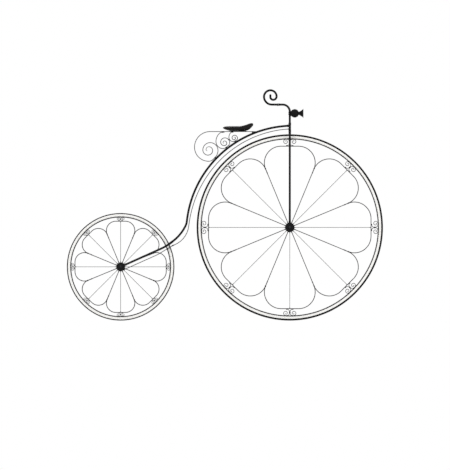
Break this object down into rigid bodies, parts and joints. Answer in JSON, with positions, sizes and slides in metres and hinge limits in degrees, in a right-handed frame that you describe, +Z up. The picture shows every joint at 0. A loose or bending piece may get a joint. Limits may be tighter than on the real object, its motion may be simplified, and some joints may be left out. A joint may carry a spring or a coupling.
{
  "type": "penny farthing bicycle",
  "caption": "High bicycle with a large steered front wheel and a small rear wheel, ornamental iron petal spokes, curved backbone, scrolled saddle spring and scrolled handlebar.",
  "frame": {"origin": "middle of the saddle's top, where the rider sits", "axes": "+X forward, +Y to the rider's left, +Z up"},
  "size_m": [2.2389, 0.514, 1.6389],
  "materials": {
    "black_enamel": "black stove enamel on wrought iron, satin gloss",
    "rim_enamel": "off-white enamel, satin",
    "tyre_rubber": "solid black rubber, matt",
    "saddle_leather": "black saddle leather, waxed",
    "horn_rubber": "black moulded rubber",
    "blued_steel": "blued steel, oiled"
  },
  "bodies": {
    "frame": {"backbone": "black_enamel", "head_tube": "black_enamel", "lower_rail": "black_enamel", "lower_stay_bridge": "black_enamel", "lower_stay_left": "black_enamel", "lower_stay_right": "black_enamel", "rear_axle": "blued_steel", "rear_axle_nuts": "blued_steel", "rear_fork_blade_left": "black_enamel", "rear_fork_blade_right": "black_enamel", "rear_fork_crown": "black_enamel", "rear_fork_end_left": "black_enamel", "rear_fork_end_right": "black_enamel", "saddle": "saddle_leather", "saddle_plate": "black_enamel", "saddle_scroll_middle": "black_enamel", "saddle_scroll_small": "black_enamel", "saddle_spring": "black_enamel", "spring_seats": "black_enamel"},
    "steering": {"fork_crown": "black_enamel", "fork_end_left": "black_enamel", "fork_end_right": "black_enamel", "fork_leg_left": "black_enamel", "fork_leg_right": "black_enamel", "handlebar_left": "black_enamel", "handlebar_lug": "black_enamel", "handlebar_right": "black_enamel", "horn_bell": "black_enamel", "horn_bracket": "black_enamel", "horn_bulb": "horn_rubber", "steering_column": "black_enamel"},
    "front_wheel": {"front_axle": "blued_steel", "front_hoop": "black_enamel", "front_hub": "black_enamel", "front_main_spokes": "black_enamel", "front_petals": "black_enamel", "front_rim": "rim_enamel", "front_scrolls": "black_enamel", "front_thin_spokes": "black_enamel", "front_tyre": "tyre_rubber"},
    "rear_wheel": {"rear_hoop": "black_enamel", "rear_hub": "black_enamel", "rear_main_spokes": "black_enamel", "rear_petals": "black_enamel", "rear_rim": "rim_enamel", "rear_scrolls": "black_enamel", "rear_thin_spokes": "black_enamel", "rear_tyre": "tyre_rubber"}
  },
  "joints": [
    {"name": "steering_turn", "type": "hinge", "parent": "frame", "child": "steering", "pos_m": [0.39, 0, -0.0096], "axis": [0, 0, 1], "range_deg": [-50, 50]},
    {"name": "front_wheel_spin", "type": "hinge", "parent": "steering", "child": "front_wheel", "pos_m": [0.39, 0, -0.7176], "axis": [0, 1, 0], "continuous": true},
    {"name": "rear_wheel_spin", "type": "hinge", "parent": "frame", "child": "rear_wheel", "pos_m": [-0.808, 0, -0.9966], "axis": [0, 1, 0], "continuous": true}
  ]
}
